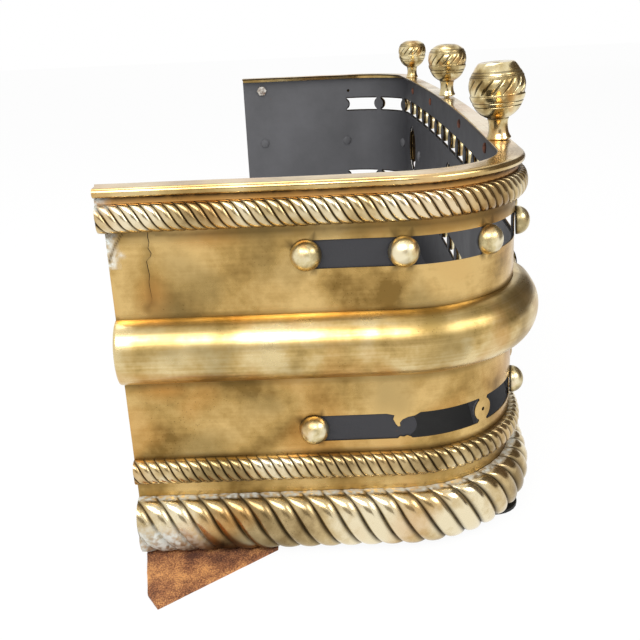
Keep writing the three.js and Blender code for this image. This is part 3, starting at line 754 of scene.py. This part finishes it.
def half_round(name, node, start, end, cope_start, cope_end):
    face_rows = 29
    turns = np.linspace(-math.pi / 2, math.pi / 2, face_rows)
    turns = np.concatenate([turns, turns[-2:0:-1]])
    behind = np.arange(len(turns)) >= face_rows
    heights = half_round_z + half_round_height / 2 * np.sin(turns)
    cope = np.sqrt(cope_radius ** 2 - (heights - half_round_z) ** 2)
    starts = start + (cope if cope_start else 0 * cope)
    ends = end - (cope if cope_end else 0 * cope)
    shares = np.linspace(0, 1, max(20, round((end - start) / 5)))
    tight = np.array([0.6, 1.2, 1.9, 2.6]) / (end - start)
    shares = np.sort(np.concatenate([shares, tight, 1 - tight]))
    runs = starts + (ends - starts) * shares[:, None]
    swell = np.abs(np.cos(turns)) ** np.where(turns > 0, 1.12, 0.92)
    offset = gap + half_round_reach * swell + 0 * runs
    dents = np.clip(rippled(runs, heights + 0 * runs, 55, 0.5, 2.2), -0.3, 0.1)
    offset += dents * (np.cos(turns) > 0.3)
    offset[:, behind | (np.abs(turns) > 1.57)] = gap
    # The open ends are dressed over with a hammer, which rounds them by about 2 mm.
    from_end = np.minimum(runs if not cope_start else 9, whole_run - runs if not cope_end else 9)
    offset = gap + (offset - gap) * (1 - 0.09 * np.clip(1 - from_end / 2.4, 0, 1) ** 2)
    points = lay(runs, offset, heights).reshape(-1, 3)
    rows = len(turns)
    faces = tube_faces(len(shares), rows)
    # Each end is closed row by row from face to back, so that it keeps the curve of its cut.
    last = (len(shares) - 1) * rows
    for row in range(face_rows - 1):
        cap = list(dict.fromkeys([row, row + 1, (rows - row - 1) % rows, (rows - row) % rows]))
        faces += [cap, [last + corner for corner in cap[::-1]]]
    # Painted shade along the underside.
    dirt_and_shade = np.clip((-turns - 1.3) * 4, 0, 0.7) + 0 * runs
    # The cut ends behind the roundels were never polished.
    if cope_start:
        dirt_and_shade[0] = unpolished
    if cope_end:
        dirt_and_shade[-1] = unpolished
    make_piece(name, points, faces, half_round_brass, [node],
               uv=unrolled(runs, turns * half_round_height / 2), marks={"dirt_and_shade": dirt_and_shade})


bar_ends = [0] + roundel_runs + [whole_run]
for index, label in enumerate(("left", "front_left", "front_right", "right")):
    half_round(f"half_round_tube_{label}", f"half_round_{label}", bar_ends[index], bar_ends[index + 1],
               index > 0, index < 3)

# ---- Roundels ----
# Three discs under the finials, stamped from brass sheet: a domed boss in a ring of pierced
# petals, with a rolled edge. The half-round stops against them.

roundel_brass = aged_brass(
    "Stamped brass roundel", ("#8C7242", "#B99A5E", "#D8BC82"), 40, (0.18, 0.32), 0.0)
roundel_wall = 1.0
petal_inner, petal_outer, petal_count, petal_spoke = 30, 40.6, 8, 6


def petals(run):
    """Outlines of the petal holes round a roundel's centre."""
    outlines = []
    for i in range(petal_count):
        middle = 2 * math.pi * (i + 0.5) / petal_count
        half = [math.pi / petal_count - petal_spoke / 2 / r for r in (petal_inner, petal_outer - 2)]
        inner = [(petal_inner, t) for t in np.linspace(half[0], -half[0], 7)]
        outer = [(petal_outer - 2 * abs(t / half[1]) ** 2, t) for t in np.linspace(-half[1], half[1], 9)]
        outlines.append([(run + r * math.cos(middle + t), half_round_z + r * math.sin(middle + t))
                         for r, t in inner + outer])
    return outlines


def roundel_rise(radius):
    """How far the roundel's face stands off the band at a radius."""
    radii = [0, 6, 9, 12, 18, 24, 27, 30, 35, 39.5, 41, 43]
    rises = [14, 13.6, 12.2, 12.6, 12, 9.4, 8.2, 8.8, 6, 3.2, 3.4, 1.2]
    return np.interp(radius, radii, rises)


ring_radii = (2, 4.5, 7, 9, 11, 14, 17, 20, 23, 25.5, 28, 42.2)
for label, run in zip(("left", "centre", "right"), roundel_runs):
    rings = [spot for radius in ring_radii
             for spot in ring(0, half_round_z, radius, 48 if radius > 8 else 20)]
    holes = [divided(hole, 3) for hole in petals(0)]
    flat, faces, bounds = flat_mesh(ring(0, half_round_z, roundel_radius, 72), holes, rings)
    out = np.hypot(flat[:, 0], flat[:, 1] - half_round_z)
    turn = np.arctan2(flat[:, 1] - half_round_z, flat[:, 0])
    # Flutes run out over the dome from the middle boss.
    flutes = 0.5 * np.cos(16 * turn) * np.clip(1 - np.abs(out - 19) / 7, 0, 1)
    face = gap + roundel_rise(out) + flutes
    back = np.maximum(face - roundel_wall, gap)
    placed = frame_at(run, 0, half_round_z)
    points = [placed @ Vector((x / 1000, (z - half_round_z) / 1000, d / 1000))
              for depth in (face, back) for (x, z), d in zip(flat, depth)]
    dirt_and_shade = (0.7 * closeness(np.abs(out - 10), 3) + 0.7 * closeness(np.abs(out - 29), 3)
             + 0.5 * closeness(roundel_radius - out, 2))
    make_piece(
        f"roundel_face_{label}", points, thick_plate(flat, faces, bounds), roundel_brass,
        [f"roundel_{label}"], uv=np.tile(flat / 1000, (2, 1)),
        marks={"dirt_and_shade": np.concatenate([np.clip(dirt_and_shade, 0, 1), np.full(len(flat), unpolished)])})

# ---- Ball studs ----
# Hollow half balls stamped from brass, one on each disc, held by a shank through its hole.
# Polished brighter than the band, and darker round the foot.

stud_brass = aged_brass(
    "Stamped brass half ball, polished", ("#AC9C72", "#D9C898", "#F1E5C2"), 14, (0.28, 0.36), 0.0)
stud_profile = [(9.0, 0.0), (11.6, 0.0), (12.0, 0.5), (11.9, 1.3)]
stud_profile += [(max(11.9 * math.cos(t), 0.03), 1.3 + 10.6 * math.sin(t))
                 for t in np.linspace(0.12, math.pi / 2, 12)]
stud_points, stud_faces = turned(stud_profile, 32)
stud_darker_foot = np.clip(1.4 - stud_points[:, 2] * 1000 / 1.6, 0, 1.3)
for row, height, missing in (("upper", upper_row_z, ()), ("lower", lower_row_z, (broken_disc, bare_disc))):
    for index, run in enumerate(disc_runs):
        if index in missing:
            continue
        lean = Matrix.Rotation(0.05 * math.sin(7 * index + height), 4, "X")
        spot = frame_at(run, 0.4, height) @ lean
        placed = [spot @ Vector(p) for p in stud_points]
        make_piece(f"stud_{row}_{index + 1}", placed, stud_faces, stud_brass,
                   [f"ball_stud_{row}_{index + 1}"], marks={"dirt_and_shade": stud_darker_foot})

# ---- Top rail ----
# A flat brass rail with a rounded nose in front, a narrow fascia under it and a thin inner edge
# that lies over the liner. Its top is worn to a mirror by hands and polish.

rail_brass = aged_brass(
    "Brass rail, worn to a mirror", ("#A58A56", "#C9AD74", "#E2CB98"), 60, (0.16, 0.25), 0.2)
rail_top = 312
inner_edge = -12.5
nose_turns = np.linspace(math.pi / 2, -math.pi / 2, 13)
rail_section = [(inner_edge, 309.4), (inner_edge, 310.6), (-12.2, 311.4), (-11.4, 311.9)]
rail_section += [(x, rail_top) for x in (-10.5, -7, -3, 1, 4.5)]
rail_section += [(7 + 3.5 * math.cos(t), 308.5 + 3.5 * math.sin(t)) for t in nose_turns]
rail_section += [(5.4, 304.9), (5.4, 304.4), (5.4, 300.0), (5.1, 299.7), (gap, 299.7),
                 (gap, rail_underside), (-1.5, rail_underside), (-1.5, 309.4)]
section_out, section_up = np.array(rail_section).T
rail_runs = np.concatenate([[-rail_overhang, -rail_overhang + 0.4],
                            stepped(0, whole_run, 5)[1:-1], [whole_run - 0.4, whole_run]])
run_column = rail_runs[:, None]
rail_offsets, rail_heights = section_out + 0 * run_column, section_up + 0 * run_column
rail_dips = rippled(run_column + 0 * rail_heights, rail_offsets, 70, 0.25, 1.3)
rail_heights = np.where(section_up > 305, rail_heights + np.minimum(rail_dips, 0.05), rail_heights)
# Its left end is sawn a little askew, so that the inner corner reaches further back.
askew = 3.4 * np.clip(section_out / inner_edge, 0, 1) ** 1.3
rail_places = run_column - askew * (run_column < 2)
drawn_in = set_back(run_column) * ((np.abs(section_out) > 2) | (section_up > 309.5))
rail_points = lay(rail_places, rail_offsets - drawn_in, rail_heights).reshape(-1, 3)
rail_size = rail_heights.shape
way_round = np.append(0, np.cumsum(np.hypot(np.diff(section_out), np.diff(section_up))))
under_nose = (section_out > 5) & (section_out < 8) & (section_up > 304.3) & (section_up < 305.3)
inner_face = (section_out < -11.5) & (section_up < 311.5)
fascia = (section_out > 5) & (section_up < 304.5)
# Painted shade in the line under the nose and on the inner face.
rail_painted_shade = np.maximum(0.95 * under_nose, 1.35 * inner_face) + 0 * rail_heights
make_piece("rail", rail_points, tube_faces(*rail_size) + tube_ends(*rail_size), rail_brass,
           ["top_rail"], uv=unrolled(run_column, way_round), crease=40,
           marks={"dirt_and_shade": rail_painted_shade, "copper": 0.75 * fascia + 0 * rail_heights,
                  "residue": closeness(run_column + 3, 14) * (rail_heights < 305)})

# ---- Finials ----
# Three turned brass balls on waisted necks, screwed down on studs. A band of slanting cuts runs
# round each ball between turned lines, and the top is cut flat with a small centre hole.

finial_brass = aged_brass(
    "Turned brass, polished", ("#8A744A", "#C3AD7A", "#E4D4A8"), 16, (0.16, 0.28), 0.0)
finial_profile = [
    (3.6, -7.1), (3.6, 0.0), (9.8, 0.0), (10.9, 0.6), (11.2, 1.4), (10.9, 2.3), (10.1, 3.6),
    (9.3, 5.6), (8.8, 8.0), (8.6, 10.6), (8.6, 13.2), (8.8, 15.6), (9.2, 17.4), (9.7, 18.6),
    (9.5, 19.0), (9.9, 19.4), (12.2, 20.6), (15.6, 22.9), (18.4, 25.6), (20.3, 28.2), (21.2, 29.7),
    (20.9, 30.3), (21.9, 31.0), (22.9, 33.4), (22.6, 34.0), (23.4, 34.6), (24.0, 35.8),
    (24.6, 37.8), (24.9, 39.4), (24.3, 40.0), (24.3, 40.5)]
cut_low, cut_high = 41.0, 54.6
finial_profile += [(24.1 + 1.3 * math.sin(math.pi * s), cut_low + (cut_high - cut_low) * s)
                   for s in np.linspace(0, 1, 19)]
finial_profile += [
    (24.2, 55.2), (24.1, 55.8), (23.5, 56.3), (23.2, 57.2), (22.7, 57.6), (22.5, 58.6),
    (21.7, 59.8), (21.2, 60.1)]
flat_top = [(20.6, 61.2), (18.9, 64.2), (16.9, 66.8), (15.6, 67.8), (14.5, 68.0), (12.0, 67.8),
            (4.0, 67.5), (2.9, 67.3), (2.7, 64.0)]
domed_top = [(19.8, 61.2), (17.2, 63.0), (14.0, 64.6), (11.0, 65.6), (9.5, 66.0), (7.0, 65.9),
             (3.4, 65.8), (2.4, 65.6), (2.2, 63.0)]
cut_count = 16
finial_segments = 240


def slanting_cuts(turns, height):
    """Cuts of a graver across the ball, slanting up to the right, deepest at mid height."""
    if not cut_low <= height <= cut_high:
        return 0 * turns
    share = (height - cut_low) / (cut_high - cut_low)
    phase = (turns * cut_count / (2 * math.pi) - share * 1.2) % 1.0
    across = np.abs(phase - 0.5) * 2
    return -1.7 * math.sin(math.pi * share) ** 0.5 * np.clip((across - 0.68) / 0.32, 0, 1) ** 1.3


# Each stands a little off its roundel's middle, leans its own way and has its own size.
for label, run, out, up, tilt_x, tilt_y, size, top in (
        ("left", roundel_runs[0], -5.9, 0.0, -0.06, 0.0, 0.975, flat_top),
        ("centre", roundel_runs[1], -5.8, 2.4, 0.0, -0.02, 1.0, domed_top),
        ("right", roundel_runs[2], -2.6, -0.6, 0.01, 0.0, 0.965, domed_top)):
    seat = Vector(lay(run, out, rail_top + up))
    leaning = (Matrix.Translation(seat) @ Matrix.Rotation(tilt_x, 4, "X")
               @ Matrix.Rotation(tilt_y, 4, "Y") @ Matrix.Scale(size, 4))
    profile = finial_profile + top
    points, faces = turned(profile, finial_segments, leaning, slanting_cuts)
    radii, heights = np.repeat(profile, finial_segments, axis=0).T
    turns = np.linspace(0, 2 * math.pi, finial_segments, endpoint=False)
    cuts = np.concatenate([slanting_cuts(turns, height) for radius, height in profile])
    dirt_and_shade = np.clip(-cuts * 0.75, 0, 0.95)
    for line in (19.0, 30.3, 34.0, 40.2, 56.3, 57.6, 60.1):
        dirt_and_shade = np.maximum(dirt_and_shade, closeness(np.abs(heights - line), 0.7) * 0.85)
    stud_or_hole = (heights < 0) | (heights > 60) & (radii < 3.5)
    make_piece(f"finial_ball_{label}", points, faces, finial_brass, [f"finial_{label}"], crease=32,
               marks={"dirt_and_shade": np.maximum(dirt_and_shade, stud_or_hole)})

# ---- Sole plate and foot plates ----
# The fender stands on three plates of 3 mm iron riveted under its foot: a long black one under
# the bowed front, and a rusty pointed one under each back end that sticks out past the side.

sole_black = painted_iron("Plate iron, blackened", "#131312", "#22211F", 0.6)
plate_rust = rusted_iron("Plate iron, rusted", "#54301F", "#96603C", "#D69A5C", 1.3)


def plate_piece(name, node, outline, step, material, rough_edge):
    """A plate cut with shears: slightly wavy edges and a softly uneven face."""
    rim = divided(outline, step)
    low, high = np.min(rim, axis=0), np.max(rim, axis=0)
    spots = np.array([(x, y) for x in stepped(low[0], high[0], step)[1:-1]
                      for y in stepped(low[1], high[1], step)[1:-1]])
    keep = inside(rim, spots)
    for shift in ((step / 2, 0), (-step / 2, 0), (0, step / 2), (0, -step / 2)):
        keep &= inside(rim, spots + shift)
    flat, faces, bounds = flat_mesh(rim, [], [tuple(s) for s in spots[keep]])
    wave = np.array([noise.noise((x / 14, y / 14, 4.0)) for x, y in flat])
    edge = {i for side in bounds for i in side}
    centre = flat.mean(axis=0)
    moved = flat.copy()
    for i in edge:
        inward = (centre - flat[i]) / np.linalg.norm(centre - flat[i])
        moved[i] += inward * rough_edge * (0.5 + 0.5 * wave[i])
    top = np.column_stack([moved / 1000, plate_thickness / 1000 - np.abs(wave) * 0.0003])
    under = np.column_stack([moved / 1000, np.zeros(len(flat))])
    make_piece(name, np.vstack([top, under]), thick_plate(flat, faces, bounds), material, [node])


def front_y(x):
    return float(lay(run_at_x(x), 0, 0)[1]) * 1000


sole_half, sole_corner, sole_reach, sole_width = half_length - 37, 24, 12, 112
corner_x = sole_half - sole_corner
sole_outline = [(x, front_y(x) - sole_reach) for x in np.linspace(-corner_x, corner_x, 25)]
sole_corner_y = sole_outline[-1][1] + sole_corner
right_corner = [(corner_x + sole_corner * math.sin(t), sole_corner_y - sole_corner * math.cos(t))
                for t in np.linspace(0, math.pi / 2, 8)[1:]]
sole_back_y = sole_corner_y - sole_corner + sole_width
sole_outline += right_corner + [(sole_half, sole_back_y), (-sole_half, sole_back_y)]
sole_outline += [(-x, y) for x, y in reversed(right_corner)]
plate_piece("sole", "sole_plate", sole_outline, 16, sole_black, 0.0)

tip, inner, outer = half_length + 77, half_length - 34, half_length + 8
back = back_shift - 4
foot_corners = [(inner, back + 3), (outer, back + 2), (tip - 17, back - 9), (tip, back - 20),
                (outer - 3, back - 109), (inner, back - 109)]
for side, label in ((-1, "left"), (1, "right")):
    outline = [(side * x, y) for x, y in foot_corners][::side]
    plate_piece(f"foot_{label}", f"foot_plate_{label}", outline, 4, plate_rust, 0.7)

# ---- Studio ----
# A white floor in a white room, lit by soft boxes above. A dim wall on the front side and a pale
# one behind the camera give the brass something to show. The camera stands at the left end.


def stage_plane(name, corners, material):
    mesh = bpy.data.meshes.new(name)
    mesh.from_pydata(corners, [], [(0, 1, 2, 3)])
    mesh.materials.append(material)
    plane = bpy.data.objects.new(name, mesh)
    bpy.context.scene.collection.objects.link(plane)


def seen_directly(tree):
    """1 for rays from the camera, from shiny metal and through clear things, 0 for falling light."""
    path = add_node(tree, "LightPath").outputs
    either = worked(tree, "MAXIMUM", path["Is Camera Ray"], path["Is Glossy Ray"])
    return worked(tree, "MAXIMUM", either, path["Is Transmission Ray"])


def plain_material(name, hex_colour):
    material, tree, surface = new_material(name, 0.0, 0.9)
    feed(tree, surface, {"Base Color": linear(hex_colour)})
    return material


floor_material = plain_material("White studio floor", "#FCFCFC")
floor_tree = floor_material.node_tree
floor_glow = add_node(floor_tree, "Emission", {"Color": linear("#FFFFFF"), "Strength": 1.0})
floor_share = worked(floor_tree, "MULTIPLY", seen_directly(floor_tree), 0.94)
floor_blend = add_node(floor_tree, "MixShader", {
    0: floor_share, 1: floor_tree.nodes["Principled BSDF"].outputs[0], 2: floor_glow.outputs[0]})
feed(floor_tree, floor_tree.nodes["Material Output"], {"Surface": floor_blend.outputs[0]})
stage_plane("floor", [(-9, -9, 0), (9, -9, 0), (9, 9, 0), (-9, 9, 0)], floor_material)
stage_plane("front_wall", [(-0.9, -2.6, 0), (5.0, -2.6, 0), (5.0, -2.6, 3.4), (-0.9, -2.6, 3.4)],
            plain_material("Dim studio wall", "#6A5E50"))
stage_plane("camera_wall", [(-3.4, -1.3, 0.35), (-3.4, 0.5, 0.35), (-3.4, 0.5, 1.5), (-3.4, -1.3, 1.5)],
            plain_material("Pale studio wall", "#A39B8E"))

world = bpy.data.worlds.new("White room")
world.use_nodes = True
room = world.node_tree
feed(room, room.nodes["Background"], {
    "Color": linear("#FFFFFF"), "Strength": spread(room, seen_directly(room), 0.0, 1.0, 0.7, 1.0)})
bpy.context.scene.world = world


def soft_box(name, place, target, width, height, watts):
    lamp = bpy.data.lights.new(name, "AREA")
    lamp.shape, lamp.size, lamp.size_y, lamp.energy = "RECTANGLE", width, height, watts
    box = bpy.data.objects.new(name, lamp)
    box.location = place
    box.rotation_euler = (Vector(target) - Vector(place)).to_track_quat("-Z", "Y").to_euler()
    bpy.context.scene.collection.objects.link(box)


soft_box("key_box", (-1.9, 0.6, 1.6), (-0.4, 0.0, 0.15), 1.2, 0.9, 22)
soft_box("front_box", (-1.3, -1.5, 1.3), (-0.2, -0.1, 0.15), 0.9, 0.6, 12)
soft_box("camera_box", (-1.9, -0.15, 1.35), (-0.57, 0.0, 0.2), 0.45, 0.35, 7)
soft_box("top_box", (0.2, 0.2, 2.1), (0.0, 0.0, 0.0), 1.4, 1.0, 14)

camera_data = bpy.data.cameras.new("camera")
# A focal length of 840.14 pixels in a picture 640 wide.
camera_data.sensor_width = 36
camera_data.lens = 840.14 / 640 * camera_data.sensor_width
camera = bpy.data.objects.new("camera", camera_data)
yaw, pitch, roll = math.radians(-1.19), math.radians(19.76), math.radians(-2.59)
ahead = Vector((
    math.cos(yaw) * math.cos(pitch), -math.sin(yaw) * math.cos(pitch), -math.sin(pitch)))
level_right = Vector((-math.sin(yaw), -math.cos(yaw), 0))
level_up = level_right.cross(ahead)
right = math.cos(roll) * level_right + math.sin(roll) * level_up
up = -math.sin(roll) * level_right + math.cos(roll) * level_up
camera_place = Matrix.Translation((-1.17559, -0.16909 + back_shift / 1000, 0.42041))
camera.matrix_world = camera_place @ Matrix((right, up, -ahead)).transposed().to_4x4()
bpy.context.scene.collection.objects.link(camera)
bpy.context.scene.camera = camera
bpy.context.scene.view_settings.view_transform = "Standard"
